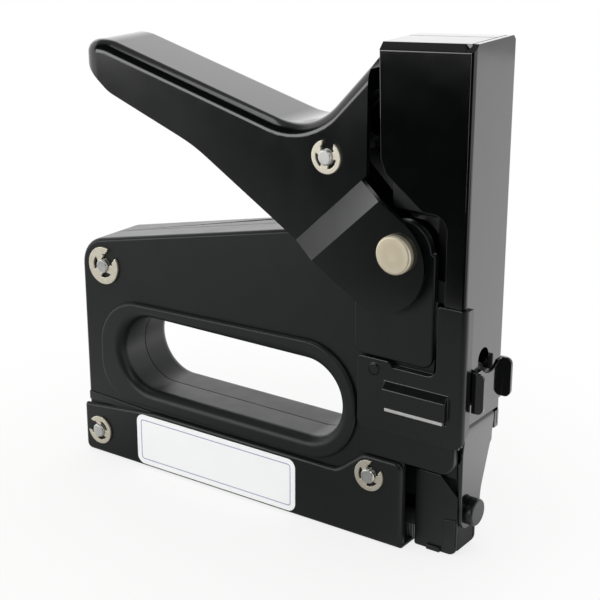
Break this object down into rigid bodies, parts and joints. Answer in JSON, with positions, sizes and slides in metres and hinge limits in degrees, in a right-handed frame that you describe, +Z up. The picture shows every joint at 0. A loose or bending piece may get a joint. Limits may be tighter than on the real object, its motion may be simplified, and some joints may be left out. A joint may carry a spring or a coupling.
{
  "type": "staple tacker",
  "caption": "Hand staple tacker: steel body with a lined hand hole, upright spring tower, squeeze handle on a pivot pin, front latch and gate, and a staple magazine that slides out to the rear.",
  "frame": {"origin": "middle of the lower channel's flat underside, on the face the tool stands on", "axes": "+X to the nose, +Z up along the tower, Y across from the right side (-Y) to the left"},
  "size_m": [0.1677, 0.038, 0.1691],
  "materials": {
    "gloss_black": "gloss baked enamel",
    "satin_black": "satin baked enamel",
    "black_moulding": "moulded, fine satin",
    "nickel": "warm nickel plate",
    "spring_steel": "bright drawn steel",
    "blackened_steel": "hardened, oil-blackened",
    "plain_steel": "oiled mill finish",
    "staple_wire": "galvanised wire",
    "bumper_rubber": "moulded rubber"
  },
  "bodies": {
    "frame": {"left_body_shell": "satin_black", "right_body_shell": "satin_black", "left_hand_ring": "black_moulding", "right_hand_ring": "black_moulding", "lower_channel": "satin_black", "tower_cover": "gloss_black", "guide_frame": "satin_black", "spring_cap": "plain_steel", "bumper": "bumper_rubber", "left_nose_plate": "gloss_black", "right_nose_plate": "gloss_black", "left_louvre_bar": "spring_steel", "right_louvre_bar": "spring_steel", "magazine_nose": "satin_black", "gate_hinge_pin": "plain_steel", "rear_upper_pin": "nickel", "rear_lower_pin": "nickel", "front_lower_pin": "nickel", "rear_upper_clips": "nickel", "lower_clips": "nickel", "pivot_pin": "nickel", "pivot_clip": "nickel", "main_spring": "spring_steel"},
    "squeeze_handle": {"handle": "gloss_black", "lifter_lever": "blackened_steel", "handle_pin": "nickel", "handle_clips": "nickel"},
    "driver": {"plunger": "blackened_steel", "driver_blade": "blackened_steel"},
    "latch": {"front_latch": "gloss_black", "latch_stud": "plain_steel"},
    "gate": {"front_gate": "gloss_black", "gate_knob": "gloss_black"},
    "magazine": {"magazine_rail": "plain_steel", "pusher_rod": "plain_steel", "pusher_spring": "spring_steel", "staple_strip": "staple_wire"},
    "pusher": {"staple_pusher": "plain_steel"}
  },
  "joints": [
    {"name": "handle_squeeze", "type": "hinge", "parent": "frame", "child": "squeeze_handle", "pos_m": [0.069, 0, 0.1035], "axis": [0, -1, 0], "range_deg": [0, 26], "stiffness_Nm_per_rad": 8, "springref_deg": -6.88},
    {"name": "plunger_lift", "type": "slide", "parent": "frame", "child": "driver", "axis": [0, 0, 1], "range_m": [0, 0.0065], "deforming": ["main_spring"]},
    {"name": "latch_slide", "type": "slide", "parent": "frame", "child": "latch", "axis": [0, 0, -1], "range_m": [0, 0.006]},
    {"name": "gate_swing", "type": "hinge", "parent": "frame", "child": "gate", "pos_m": [0.0898, 0, 0.0464], "axis": [0, -1, 0], "range_deg": [0, 40]},
    {"name": "magazine_slide", "type": "slide", "parent": "frame", "child": "magazine", "axis": [-1, 0, 0], "range_m": [0, 0.09]},
    {"name": "pusher_slide", "type": "slide", "parent": "magazine", "child": "pusher", "axis": [-1, 0, 0], "range_m": [0, 0.05], "stiffness_N_per_m": 20, "springref_m": -0.05, "deforming": ["pusher_spring"]}
  ],
  "couplings": [
    {"joint": "plunger_lift", "follows": "handle_squeeze", "m_per_rad": 0.014194}
  ]
}
